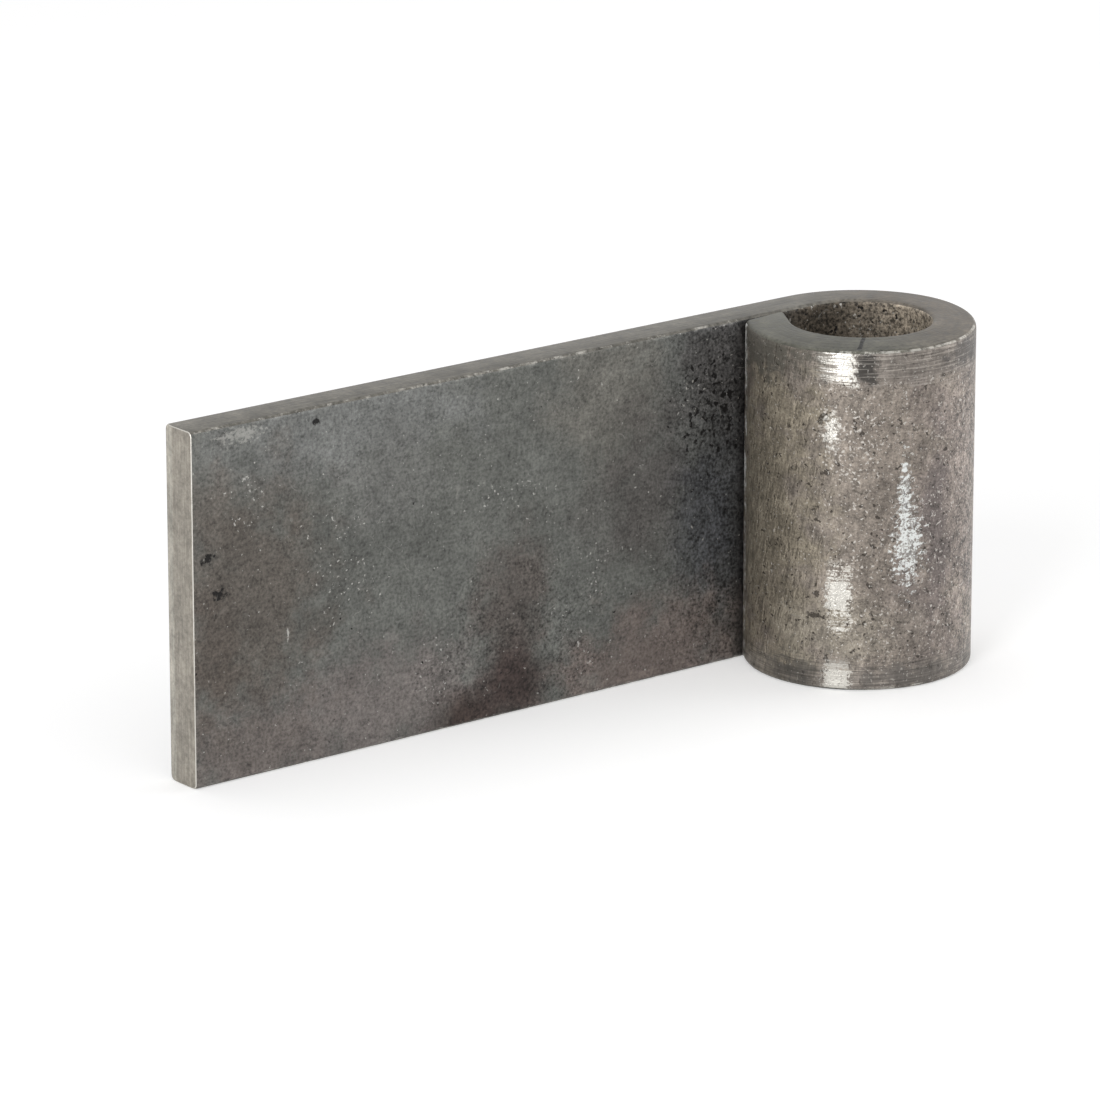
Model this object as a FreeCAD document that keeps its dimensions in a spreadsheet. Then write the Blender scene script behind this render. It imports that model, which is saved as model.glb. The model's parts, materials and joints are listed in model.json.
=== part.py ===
# Weld-on hinge strap with a rolled eye, in millimetres.
#
# One length of hot-rolled flat bar. Its end is rolled round until the tip meets the strap's own front
# face, which leaves an eye that drops over a gate's hinge pin. The bend stretches the outside of the bar,
# so the eye's outer rim is drawn in at the top. At the bottom the bar slid on the roll's table, which kept
# that end of the eye flat. The long edges keep the bar's rolled corners all the way. The two ends are
# sheared: each has a small break round it, and the free end is torn at the back, where the blade came out.
#
# The frame: the origin is on the bore's axis, halfway up the eye. +X runs from the strap's free end to
# the eye, +Y is square to the strap's back face, which is the face that is welded, and +Z is up the bore.
import FreeCAD
import Part
import Sketcher
import math
import os

PART_NAME = "rolled_eye_strap"
TOLERANCE = 1e-4

# name, value, what it is
SIZES = [
    ("bore_diameter", 16, "inside diameter of the eye, for a pin of nearly that size"),
    ("overall_length", 100, "from the strap's free end to the far side of the eye"),
    ("strap_height", 40, "width of the flat bar, which stands upright here"),
    ("strap_thickness", 5, "thickness of the flat bar"),
    ("seam_gap", 0.2, "daylight between the rolled tip and the strap"),
    ("tip_lean", 30, "degrees that the straight tip leans over the bore"),
    ("long_edge_radius", 0.6, "rolled corners along the flat bar"),
    ("cut_edge_radius", 0.2, "break round the two sheared ends"),
    ("rim_drop", 0.55, "how far the bend draws the outer rim in, at the top of the eye"),
    ("draw_in_length", 8, "straight length before the bend over which the rim is drawn in"),
    ("torn_depth", 1.4, "thickness of the torn strip at the back of the free end"),
    ("torn_slope", 0.22, "how far the torn strip falls back"),
]

# sums that several features share
BORE_RADIUS = "sizes.bore_diameter / 2"
EYE_RADIUS = "(sizes.bore_diameter / 2 + sizes.strap_thickness)"
FREE_END_REACH = f"(sizes.overall_length - {EYE_RADIUS})"
HALF_HEIGHT = "sizes.strap_height / 2"
RIM_HEIGHT = f"({HALF_HEIGHT} - sizes.rim_drop)"
TIP_HEIGHT = f"({BORE_RADIUS} - sizes.seam_gap)"

# the numbers by which a sketch knows a line's ends and its own origin
START = 1
END = 2
ORIGIN = (-1, 1)


def make_sizes(doc):
    """The driving dimensions, one row each: the name, the value under its alias, and the note."""
    sheet = doc.addObject("Spreadsheet::Sheet", "sizes")
    for row, (alias, value, note) in enumerate(SIZES, start=1):
        sheet.set(f"A{row}", alias)
        sheet.set(f"B{row}", str(value))
        sheet.set(f"C{row}", note)
        sheet.setAlias(f"B{row}", alias)
    doc.recompute()
    return sheet


def origin_plane(body, role):
    """One of the body's own origin planes."""
    return next(feature for feature in body.Origin.OriginFeatures if feature.Role == role)


def start_sketch(body, role, name):
    """An empty sketch on one of the body's origin planes."""
    sketch = body.newObject("Sketcher::SketchObject", name)
    sketch.AttachmentSupport = [(origin_plane(body, role), "")]
    sketch.MapMode = "FlatFace"
    return sketch


def fix(sketch, kind, *where):
    return sketch.addConstraint(Sketcher.Constraint(kind, *where))


def dimension(sketch, name, expression, kind, *where):
    """A dimension with a name, driven by the sheet."""
    index = fix(sketch, kind, *where)
    sketch.renameConstraint(index, name)
    sketch.setExpression(f"Constraints.{name}", expression)


def corner_arc(corner, arrive, leave, radius):
    """The quarter turn at a corner, from the side that arrives there to the side that leaves it."""
    middle = corner - arrive * radius + leave * radius
    begin = corner - arrive * radius - middle
    stop = corner + leave * radius - middle
    circle = Part.Circle(middle, FreeCAD.Vector(0, 0, 1), radius)
    return Part.ArcOfCircle(circle, math.atan2(begin.y, begin.x), math.atan2(stop.y, stop.x))


def make_section(body, sheet, name, outer_top, outer_height):
    """The bar's section, upright, with its rolled corners. Its outer face may end lower at the top."""
    sketch = start_sketch(body, "YZ_Plane", name)
    inner = sheet.bore_diameter / 2
    outer = inner + sheet.strap_thickness
    half = sheet.strap_height / 2
    radius = sheet.long_edge_radius
    outline = [(inner, -half), (outer, -half), (outer, outer_top), (inner, half)]
    corners = [FreeCAD.Vector(*corner, 0) for corner in outline]
    ways = [(stop - begin).normalize() for begin, stop in zip(corners, corners[1:] + corners[:1])]

    # four sides, each from one corner's turn to the next, and the four turns
    sides = []
    turns = []
    for index, corner in enumerate(corners):
        begin = corner + ways[index] * radius
        stop = corners[(index + 1) % 4] - ways[index] * radius
        sides.append(sketch.addGeometry(Part.LineSegment(begin, stop), False))
    for index, corner in enumerate(corners):
        turns.append(sketch.addGeometry(corner_arc(corner, ways[index - 1], ways[index], radius), False))
    for index in range(4):
        fix(sketch, "Tangent", sides[index - 1], END, turns[index], START)
        fix(sketch, "Tangent", turns[index], END, sides[index], START)
    for turn in turns[1:]:
        fix(sketch, "Equal", turns[0], turn)
    fix(sketch, "Vertical", sides[1])
    fix(sketch, "Vertical", sides[3])

    # the sharp corners where the sides would meet carry the dimensions
    sharp = []
    for index, corner in enumerate(corners):
        mark = sketch.addGeometry(Part.Point(corner), True)
        fix(sketch, "PointOnObject", mark, START, sides[index - 1])
        fix(sketch, "PointOnObject", mark, START, sides[index])
        sharp.append((mark, START))
    low_inner, low_outer, high_outer, high_inner = sharp
    dimension(sketch, "corner_radius", "sizes.long_edge_radius", "Radius", turns[0], radius)
    dimension(sketch, "inner_face", BORE_RADIUS, "DistanceX", *ORIGIN, *high_inner, inner)
    dimension(sketch, "outer_face", EYE_RADIUS, "DistanceX", *ORIGIN, *high_outer, outer)
    dimension(sketch, "inner_top", HALF_HEIGHT, "DistanceY", *ORIGIN, *high_inner, half)
    dimension(sketch, "inner_bottom", HALF_HEIGHT, "DistanceY", *low_inner, *ORIGIN, half)
    dimension(sketch, "outer_top", outer_height, "DistanceY", *ORIGIN, *high_outer, outer_top)
    dimension(sketch, "outer_bottom", HALF_HEIGHT, "DistanceY", *low_outer, *ORIGIN, half)
    return sketch


def roll_eye(body, section):
    """The eye's section turned round the bore's axis until it points back at the strap."""
    eye = body.newObject("PartDesign::Revolution", "rolled_eye")
    eye.Profile = (section, [""])
    eye.ReferenceAxis = (section, ["V_Axis"])
    eye.Reversed = True
    eye.setExpression("Angle", "270 + sizes.tip_lean")
    return eye


def extend_tip(body, eye):
    """The straight tip, from the end of the bend to the plane where it was sheared off."""
    shear = body.newObject("PartDesign::Plane", "tip_shear_plane")
    shear.AttachmentSupport = [(origin_plane(body, "XZ_Plane"), "")]
    shear.MapMode = "FlatFace"
    shear.setExpression(".AttachmentOffset.Base.z", f"-{TIP_HEIGHT}")

    def ends_the_bend(face):
        return face.Surface.TypeId == "Part::GeomPlane" and face.CenterOfMass.x < -TOLERANCE

    faces = enumerate(eye.Shape.Faces, start=1)
    end_of_bend = next(f"Face{i}" for i, face in faces if ends_the_bend(face))
    tip = body.newObject("PartDesign::Pad", "straight_tip")
    tip.Profile = (eye, [end_of_bend])
    tip.Type = "UpToFace"
    tip.UpToFace = (shear, [""])
    return tip


def draw_in_rim(body, eye_section, bar_section):
    """The length before the bend, where the bar's section runs over into the eye's."""
    drawn_in = body.newObject("PartDesign::AdditiveLoft", "drawn_in_rim")
    drawn_in.Profile = (eye_section, [""])
    drawn_in.Sections = [(bar_section, [""])]
    drawn_in.Ruled = True
    return drawn_in


def extend_strap(body, bar_section):
    """The plain flat bar, out to the free end."""
    strap = body.newObject("PartDesign::Pad", "flat_bar")
    strap.Profile = (bar_section, [""])
    strap.Reversed = True
    strap.setExpression("Length", f"{FREE_END_REACH} - sizes.draw_in_length")
    return strap


def break_cut_edges(body, strap, sheet):
    """The small round that shearing leaves along every edge of the two cut ends."""
    free_end = sheet.bore_diameter / 2 + sheet.strap_thickness - sheet.overall_length
    tip_end = sheet.bore_diameter / 2 - sheet.seam_gap

    def at(value, place):
        return abs(value - place) < TOLERANCE

    def on_a_cut(box):
        on_free_end = at(box.XMin, free_end) and at(box.XMax, free_end)
        on_tip_end = at(box.YMin, tip_end) and at(box.YMax, tip_end)
        return on_free_end or on_tip_end

    edges = enumerate(strap.Shape.Edges, start=1)
    broken = body.newObject("PartDesign::Fillet", "sheared_ends")
    broken.Base = (strap, [f"Edge{i}" for i, edge in edges if on_a_cut(edge.BoundBox)])
    broken.setExpression("Radius", "sizes.cut_edge_radius")
    return broken


def tear_free_end(body, sheet):
    """The strip at the back of the free end that tore instead of being cut, and so leans back."""
    sketch = start_sketch(body, "XY_Plane", "torn_corner")
    back = sheet.bore_diameter / 2 + sheet.strap_thickness
    end = back - sheet.overall_length
    depth = sheet.torn_depth
    slope = sheet.torn_slope
    corner = FreeCAD.Vector(end, back, 0)
    cut_side = FreeCAD.Vector(end, back - depth, 0)
    back_side = FreeCAD.Vector(end + slope, back, 0)
    end_line = sketch.addGeometry(Part.LineSegment(corner, cut_side), False)
    tear_line = sketch.addGeometry(Part.LineSegment(cut_side, back_side), False)
    back_line = sketch.addGeometry(Part.LineSegment(back_side, corner), False)
    fix(sketch, "Coincident", end_line, END, tear_line, START)
    fix(sketch, "Coincident", tear_line, END, back_line, START)
    fix(sketch, "Coincident", back_line, END, end_line, START)
    fix(sketch, "Vertical", end_line)
    fix(sketch, "Horizontal", back_line)
    dimension(sketch, "end_reach", FREE_END_REACH, "DistanceX", end_line, START, *ORIGIN, -end)
    dimension(sketch, "back_face", EYE_RADIUS, "DistanceY", *ORIGIN, end_line, START, back)
    dimension(sketch, "depth", "sizes.torn_depth", "DistanceY", end_line, END, end_line, START, depth)
    dimension(sketch, "slope", "sizes.torn_slope", "DistanceX", back_line, END, back_line, START, slope)
    torn = body.newObject("PartDesign::Pocket", "torn_strip")
    torn.Profile = (sketch, [""])
    torn.SideType = "Symmetric"
    torn.Type = "ThroughAll"
    return torn


def make_strap(doc, sheet):
    body = doc.addObject("PartDesign::Body", PART_NAME)
    half = sheet.strap_height / 2
    eye_section = make_section(body, sheet, "eye_section", half - sheet.rim_drop, RIM_HEIGHT)
    eye = roll_eye(body, eye_section)
    doc.recompute()
    extend_tip(body, eye)
    bar_section = make_section(body, sheet, "bar_section", half, HALF_HEIGHT)
    bar_section.setExpression(".AttachmentOffset.Base.z", "-sizes.draw_in_length")
    draw_in_rim(body, eye_section, bar_section)
    strap = extend_strap(body, bar_section)
    doc.recompute()
    whole = break_cut_edges(body, strap, sheet)
    doc.recompute()
    torn = tear_free_end(body, sheet)
    doc.recompute()
    if torn.Shape.Volume > whole.Shape.Volume - TOLERANCE:
        raise RuntimeError("the torn strip took nothing off the free end")
    return body


def check(doc, parts):
    """Stops the build if an object failed, a sketch is loose or a part isn't one sound solid."""
    for item in doc.Objects:
        failed = [state for state in item.State if state in ("Invalid", "Error")]
        if failed:
            raise RuntimeError(f"{item.Label} is {failed}")
        if item.TypeId == "Sketcher::SketchObject" and not item.FullyConstrained:
            raise RuntimeError(f"{item.Label} isn't fully constrained")
    for part in parts:
        shape = part.Shape
        if shape.isNull() or not shape.isValid() or len(shape.Solids) != 1:
            raise RuntimeError(f"{part.Label} isn't one sound solid")


def report(sheet, part):
    """Prints the solid's size, and its volume beside the sum for a sharp-edged bar bent round."""
    inner = sheet.bore_diameter / 2
    outer = inner + sheet.strap_thickness
    middle = (inner + outer) / 2
    lean = math.radians(sheet.tip_lean)
    straight = sheet.overall_length - outer
    tip = (inner - sheet.seam_gap - middle * math.sin(lean)) / math.cos(lean)
    bend = middle * (3 * math.pi / 2 + lean)
    plain = (straight + bend + tip) * sheet.strap_thickness * sheet.strap_height
    box = part.Shape.optimalBoundingBox()
    print(f"{part.Label}: {box.XLength:.2f} x {box.YLength:.2f} x {box.ZLength:.2f} mm")
    print(f"volume {part.Shape.Volume:.0f} mm3, and {plain:.0f} mm3 for the same bar left square all over")


def export(parts):
    os.makedirs("parts", exist_ok=True)
    for part in parts:
        part.Shape.exportStep(f"parts/{part.Label}.step")


def main():
    doc = FreeCAD.newDocument("weld_on_hinge_strap")
    sheet = make_sizes(doc)
    strap = make_strap(doc, sheet)
    check(doc, [strap])
    report(sheet, strap)
    export([strap])


main()
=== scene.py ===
# %% [markdown]
# # A weld-on hinge strap with a rolled eye
#
# The real part is one length of hot-rolled flat bar. One end was rolled round a mandrel until the tip met
# the bar again, and nothing was painted or ground. So the picture is all about one bent shape and the skin
# of the steel: dark mill scale on the flats, rubbed metal where the rolls pressed, and bright sheared edges.
# The lesson goes in that order: the frame, the camera, the studio, the bar and its finishes, then tying the bar to
# the solid.

# %% Load the fixed frame
import json
import math

import bmesh
import bpy
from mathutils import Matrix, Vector


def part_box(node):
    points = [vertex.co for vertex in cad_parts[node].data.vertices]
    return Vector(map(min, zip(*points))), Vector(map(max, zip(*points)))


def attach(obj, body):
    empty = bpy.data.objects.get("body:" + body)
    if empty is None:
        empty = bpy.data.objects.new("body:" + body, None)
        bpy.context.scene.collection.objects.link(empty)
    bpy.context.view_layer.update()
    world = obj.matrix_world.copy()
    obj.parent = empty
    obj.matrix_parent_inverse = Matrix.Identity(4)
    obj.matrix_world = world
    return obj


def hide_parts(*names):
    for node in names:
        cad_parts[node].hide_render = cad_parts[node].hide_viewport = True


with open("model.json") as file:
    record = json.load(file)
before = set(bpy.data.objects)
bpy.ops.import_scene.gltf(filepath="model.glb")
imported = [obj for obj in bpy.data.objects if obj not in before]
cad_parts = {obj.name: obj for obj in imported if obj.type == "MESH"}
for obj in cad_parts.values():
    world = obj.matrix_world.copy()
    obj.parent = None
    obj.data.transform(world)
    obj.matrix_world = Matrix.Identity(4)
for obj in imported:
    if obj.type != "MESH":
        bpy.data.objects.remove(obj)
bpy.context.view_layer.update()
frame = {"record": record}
bpy.ops.object.select_all(action="DESELECT")

# %% [markdown]
# ## Sizes read from the frame
#
# Nothing is measured twice. The solid's box gives the bar's length and height and the eye's outside, and
# the bore's mount gives the inside, so a change to the solid changes this picture with it. The solid's own
# facets cut a hair inside the true circle, and the bar is drawn that hair smaller to stay within its box.

# %% Read the bar's sizes
NODE = "rolled_eye_strap"
MM = 0.001
FACET_HAIR = 0.02 * MM

low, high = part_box(NODE)
bore_radius = frame["record"]["mounts"][0]["dims"]["r_mm"] * MM
eye_radius = high.y - FACET_HAIR
thickness = eye_radius - bore_radius
half_height = high.z
free_end = low.x
middle_radius = (bore_radius + eye_radius) / 2
print(f"strap {-free_end / MM:.1f} mm to the eye, {2 * half_height / MM:.1f} high, {thickness / MM:.1f} thick")

# %% [markdown]
# ## The camera
#
# A product picture like this is taken from some way off with a long lens, which keeps the sides of the eye
# almost parallel. The camera looks down a little from the front left, so it sees the broad front face, the
# sheared end and the top of the eye at once. Naming the two points, where it stands and where it looks,
# is easier to adjust by eye than three angles.

# %% Place the camera
CAMERA_AT = Vector((-0.5012, -0.5749, 0.2212))
CAMERA_AIM = Vector((-0.0409, 0.0048, -0.0008))
LENS_MM = 229

lens = bpy.data.cameras.new("camera")
lens.lens = LENS_MM
lens.sensor_width = 36
lens.clip_start = 0.05
camera = bpy.data.objects.new("camera", lens)
camera.location = CAMERA_AT
camera.rotation_euler = (CAMERA_AIM - CAMERA_AT).to_track_quat("-Z", "Y").to_euler()
bpy.context.scene.collection.objects.link(camera)
bpy.context.scene.camera = camera
print(f"camera {(CAMERA_AIM - CAMERA_AT).length:.2f} m away, {LENS_MM} mm lens")

# %% [markdown]
# ## Wiring nodes in code
#
# The surround, the floor and every finish below are node trees. In the editor a node is added, its fields
# are filled in and its sockets are joined by hand, and these helpers do the same three things. Each takes
# the tree first. A value is set on the socket, and another node's output is linked to it.

# %% Helpers for wiring nodes
def plug(tree, socket, value):
    """Links the value if it is another node's output, and otherwise sets it."""
    if isinstance(value, bpy.types.NodeSocket):
        tree.links.new(value, socket)
    else:
        socket.default_value = value


def add(tree, kind, settings=None, **inputs):
    """Adds a shader node, applies its settings and fills its inputs by name."""
    made = tree.nodes.new("ShaderNode" + kind)
    for name, value in (settings or {}).items():
        setattr(made, name, value)
    for name, value in inputs.items():
        plug(tree, made.inputs[name.replace("_", " ")], value)
    return made


def maths(tree, operation, *values):
    """One sum: ADD, SUBTRACT, MULTIPLY and so on."""
    made = add(tree, "Math", {"operation": operation})
    for socket, value in zip(made.inputs, values):
        plug(tree, socket, value)
    return made.outputs[0]


def srgb(red, green, blue):
    """A colour as a screen shows it, 0 to 255, turned into the linear values that nodes want."""
    def linear(level):
        level /= 255
        return level / 12.92 if level <= 0.04045 else ((level + 0.055) / 1.055) ** 2.4
    return (linear(red), linear(green), linear(blue), 1)


# %% [markdown]
# ## The studio
#
# Bare steel shows what stands round it more than its own colour. The room is therefore plain: a white
# floor, an even surround, and a few broad soft lamps. The tall lamp at the left matters most, because a
# cylinder draws a tall lamp out into one upright streak, and that streak is what makes the eye look round.
# The surround lights the strap at a level where a colour looks as it was written. The white behind the
# strap is only what the camera and the metal see, so it adds no light.

# %% Set up the surround and the floor
SURROUND = 0.42
FLOOR_LIFT = 0.36

scene = bpy.context.scene
scene.view_settings.view_transform = "Standard"


def looked_at(tree):
    """1 where the camera, a reflection or a view through glass meets this, and 0 where light does."""
    ray = add(tree, "LightPath").outputs
    direct = maths(tree, "MAXIMUM", ray["Is Camera Ray"], ray["Is Glossy Ray"])
    return maths(tree, "MAXIMUM", direct, ray["Is Transmission Ray"])


world = bpy.data.worlds.new("surround")
world.use_nodes = True
scene.world = world
tree = world.node_tree
surround = tree.nodes["Background"]
surround.inputs["Color"].default_value = (1, 1, 1, 1)
plug(tree, surround.inputs["Strength"], maths(tree, "MULTIPLY_ADD", looked_at(tree), 1 - SURROUND, SURROUND))

bpy.ops.mesh.primitive_plane_add(size=6, location=(0, 0, low.z))
floor = bpy.context.object
floor.name = "floor"
paint = bpy.data.materials.new("floor_paint")
paint.use_nodes = True
tree = paint.node_tree
shader = tree.nodes["Principled BSDF"]
shader.inputs["Base Color"].default_value = (0.8, 0.8, 0.8, 1)
shader.inputs["Roughness"].default_value = 1.0
shader.inputs["Specular IOR Level"].default_value = 0.0
shader.inputs["Emission Color"].default_value = (1, 1, 1, 1)
plug(tree, shader.inputs["Emission Strength"], maths(tree, "MULTIPLY", looked_at(tree), FLOOR_LIFT))
floor.data.materials.append(paint)


# %% Hang the lamps
LAMP_DISTANCE = 1.2


def lamp(name, azimuth, elevation, width, height, power):
    """A soft lamp that faces the eye. Azimuth is in degrees from +X, turning towards +Y."""
    data = bpy.data.lights.new(name, "AREA")
    data.shape = "RECTANGLE"
    data.size = width
    data.size_y = height
    data.energy = power
    item = bpy.data.objects.new(name, data)
    turn, rise = math.radians(azimuth), math.radians(elevation)
    item.location = (
        LAMP_DISTANCE * math.cos(rise) * math.cos(turn),
        LAMP_DISTANCE * math.cos(rise) * math.sin(turn),
        LAMP_DISTANCE * math.sin(rise),
    )
    item.rotation_euler = (-Vector(item.location)).to_track_quat("-Z", "Y").to_euler()
    scene.collection.objects.link(item)


lamp("left_tall", azimuth=-152, elevation=22, width=0.34, height=1.0, power=6)
lamp("right_broad", azimuth=-15, elevation=20, width=1.0, height=1.0, power=5.4)
lamp("front_broad", azimuth=-110, elevation=38, width=1.0, height=1.0, power=2.0)
lamp("top_broad", azimuth=90, elevation=75, width=0.7, height=0.7, power=2.5)

# %% [markdown]
# ## The bar, rolled into an eye
#
# The real strap begins as straight bar, so the model does too: a box at the bar's size, whose end face is
# spun round the bore's axis and then pushed on as the straight tip. Spinning is the same motion as the
# rolling, and it keeps the four long corners as four clean edge loops. A curve with a profile would also
# make the sweep, but its two ends would be harder to shape.

# %% Helpers for picking parts of a mesh in edit mode
def pick(kind, test):
    """Selects the verts, edges or faces that pass the test, and nothing else."""
    mesh = bmesh.from_edit_mesh(bpy.context.object.data)
    bpy.context.tool_settings.mesh_select_mode = [kind == name for name in ("verts", "edges", "faces")]
    mesh.select_mode = {{"verts": "VERT", "edges": "EDGE", "faces": "FACE"}[kind]}
    for part in (*mesh.verts, *mesh.edges, *mesh.faces):
        part.select = False
    chosen = [part for part in getattr(mesh, kind) if test(part)]
    for part in chosen:
        part.select_set(True)
    mesh.select_flush_mode()
    bmesh.update_edit_mesh(bpy.context.object.data)
    return len(chosen)


def near(value, target, within=0.05 * MM):
    return abs(value - target) < within


# %% Start with the straight bar and spin its end round the bore
BEND_DEGREES = 300
STEP_DEGREES = 4

bpy.ops.mesh.primitive_cube_add(
    size=1,
    location=(free_end / 2, middle_radius, 0),
    scale=(-free_end, thickness, 2 * half_height),
)
bar = bpy.context.object
bar.name = "rolled_bar"
bpy.ops.object.transform_apply(location=True, rotation=True, scale=True)
bpy.ops.object.mode_set(mode="EDIT")
pick("faces", lambda face: face.normal.x > 0.9)
# seen from above the bar turns clockwise, which without a window is the spin's positive way
bpy.ops.mesh.spin(
    steps=BEND_DEGREES // STEP_DEGREES,
    angle=math.radians(BEND_DEGREES),
    center=(0, 0, 0),
    axis=(0, 0, 1),
)
edit = bmesh.from_edit_mesh(bar.data)
turned = next(face for face in edit.faces if face.select).calc_center_median()
print(f"the bend ends at ({turned.x / MM:.1f}, {turned.y / MM:.1f}) mm")

# %% [markdown]
# ## The tip
#
# Past the bend the last few millimetres stay straight, because the rolls can't grip the very end. The face
# is pushed on past the strap and then cut off level with it, a hair short, which leaves the dark seam.
# Bisect does that in one go: it cuts what is selected at a plane, throws the far side away and fills the cut.

# %% Push the tip on and cut it level with the strap
SEAM_GAP = 0.2 * MM
TIP_REACH = 8 * MM

lean = math.radians(BEND_DEGREES - 270)
along_tip = Vector((math.sin(lean), math.cos(lean), 0))
bpy.ops.mesh.extrude_region_move(TRANSFORM_OT_translate={"value": along_tip * TIP_REACH})


def on_tip(face):
    """True on the straight tip, which lies beyond the end of the bend."""
    middle = face.calc_center_median()
    end_of_bend = Vector((-math.cos(lean), math.sin(lean), 0)) * middle_radius
    return middle.x < -bore_radius / 2 and (middle - end_of_bend).dot(along_tip) > 0 and middle.x > -eye_radius


pick("faces", on_tip)
bpy.ops.mesh.bisect(
    plane_co=(0, bore_radius - SEAM_GAP, 0),
    plane_no=(0, 1, 0),
    clear_outer=True,
    use_fill=True,
)

# %% [markdown]
# ## What rolling does to the rim
#
# A flat bar that is bent this tightly draws in on the outside, where it is stretched. At the top of the eye
# the inner rim keeps its height and the outer rim sinks by about half a millimetre. At the bottom the bar
# slid on the roll's table, and stayed flat. The stretch builds up along the bend: there is none of it behind
# the bore, all of it in front, and less again on the straight tip. So each station of the rim is lowered by
# itself, by its own share.

# %% Draw the upper rim in along the bend
RIM_DROP = 0.55 * MM
DROP_STARTS = math.radians(75)
DROP_IS_FULL = math.radians(180)
TIP_SHARE = 0.4
LAST_OF_BEND = math.radians(50)


def turn_of(point):
    """How far round the bend a point lies, clockwise from where the strap ends, in radians."""
    return math.atan2(point.x, point.y) % math.tau


def share_of_drop(turn):
    """How much of the full drop the rim has at this turn."""
    rise = min(max((turn - DROP_STARTS) / (DROP_IS_FULL - DROP_STARTS), 0), 1)
    fall_starts = math.radians(BEND_DEGREES) - LAST_OF_BEND
    fall = min(max((turn - fall_starts) / LAST_OF_BEND, 0), 1)
    return rise * rise * (3 - 2 * rise) * (1 - (1 - TIP_SHARE) * fall)


def on_upper_rim(vert):
    """True on the upper outside corner of the eye, the straight tip's included."""
    from_axis = math.hypot(vert.co.x, vert.co.y)
    on_strap = vert.co.x < 0.1 * MM and vert.co.y > bore_radius - SEAM_GAP / 2
    at_tip_end = near(vert.co.y, bore_radius - SEAM_GAP) and vert.co.x < -bore_radius
    return vert.co.z > 0 and not on_strap and (near(from_axis, eye_radius) or at_tip_end)


edit = bmesh.from_edit_mesh(bar.data)
stations = sorted({round(turn_of(vert.co), 4) for vert in edit.verts if on_upper_rim(vert)})
for station in stations:
    pick("verts", lambda vert: on_upper_rim(vert) and near(turn_of(vert.co), station, 1e-3))
    bpy.ops.transform.translate(value=(0, 0, -RIM_DROP * share_of_drop(station)))
print(f"{len(stations)} stations of the upper rim lowered by up to {RIM_DROP / MM} mm")

# %% [markdown]
# ## The sheared end
#
# A shear cuts cleanly for the first part of the thickness and then tears the rest away, so the end of the
# strap is two facets: a flat one towards the front and one that slopes back behind it. A cut across the end
# face gives the line between them, and the back corner is then drawn in.

# %% Break the free end into its cut and its torn facet
TORN_DEPTH = 1.4 * MM
TORN_SLOPE = 0.22 * MM

pick("faces", lambda face: face.normal.x < -0.9 and near(face.calc_center_median().x, free_end))
bpy.ops.mesh.bisect(plane_co=(0, eye_radius - TORN_DEPTH, 0), plane_no=(0, 1, 0))
pick("verts", lambda vert: near(vert.co.x, free_end) and near(vert.co.y, eye_radius))
bpy.ops.transform.translate(value=(TORN_SLOPE, 0, 0))

# %% [markdown]
# ## Corners that catch the light
#
# No rolled bar has a sharp corner. The four long ones are rounded by the mill, and the sheared ones only by
# handling. They are bevelled as real rounds and not left to shading, because a round draws the lamp out into
# the thin bright line that the eye reads as a solid edge. Each bevel also marks its own middle in an
# attribute, which the finishes read later as the place that wears first.

# %% Round the long corners and then the sheared ones
LONG_ROUND = 0.6 * MM
CUT_ROUND = 0.2 * MM
WEAR = "worn_edge"


def is_end(face):
    """True on the free end's facets and on the end of the tip."""
    middle = face.calc_center_median()
    at_free_end = face.normal.x < -0.9 and middle.x < free_end + TORN_SLOPE
    at_tip_end = face.normal.y > 0.9 and near(middle.y, bore_radius - SEAM_GAP)
    return at_free_end or at_tip_end


def is_long_corner(edge):
    """True where a narrow face of the bar meets a broad one."""
    if any(is_end(face) for face in edge.link_faces):
        return False
    upright = sorted(abs(face.normal.z) for face in edge.link_faces)
    return upright[0] < 0.3 and upright[1] > 0.7


def is_cut_corner(edge):
    return sum(is_end(face) for face in edge.link_faces) == 1


def nowhere(face):
    return False


def round_off(radius, segments, runs_out_at=nowhere):
    """Rounds the selected edges and marks the middle of the new rounds, up to the faces they run out at."""
    bpy.ops.mesh.bevel(offset=radius, segments=segments, profile=0.5, affect="EDGES")
    edit = bmesh.from_edit_mesh(bar.data)
    wear = edit.verts.layers.float.get(WEAR) or edit.verts.layers.float.new(WEAR)
    for vert in edit.verts:
        if vert.select and all(face.select or runs_out_at(face) for face in vert.link_faces):
            vert[wear] = 1
    bmesh.update_edit_mesh(bar.data)


print(pick("edges", is_long_corner), "edges on the long corners")
round_off(LONG_ROUND, segments=5, runs_out_at=is_end)
print(pick("edges", is_cut_corner), "edges on the sheared corners")
round_off(CUT_ROUND, segments=3)

bpy.ops.mesh.select_all(action="SELECT")
bpy.ops.mesh.remove_doubles(threshold=0.001 * MM)
bpy.ops.mesh.normals_make_consistent(inside=False)
bpy.ops.object.mode_set(mode="OBJECT")
bpy.ops.object.shade_smooth_by_angle(angle=math.radians(30))

# %% [markdown]
# ## A map that follows the bar
#
# Scratches from the rolls run along the bar and go round the eye with it. Object coordinates can't follow a
# bend, so the bar gets a map of its own, in metres: across the map is the way along the bar, from the free
# end to the tip, and up the map is the height. The narrow faces carry the map on over the corner, so a
# scratch doesn't jump there. The four finishes are given out in the same pass, by where each face lies.

# %% Unroll the bar and give each face its finish
MAP = "bar"
FRONT, BACK, EDGES, CUTS = range(4)


def along_bar(point):
    """The way from the free end along the middle of the bar, in metres."""
    if point.x < 0 and point.y > bore_radius - SEAM_GAP / 2:
        return point.x - free_end
    return middle_radius * turn_of(point) - free_end


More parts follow.
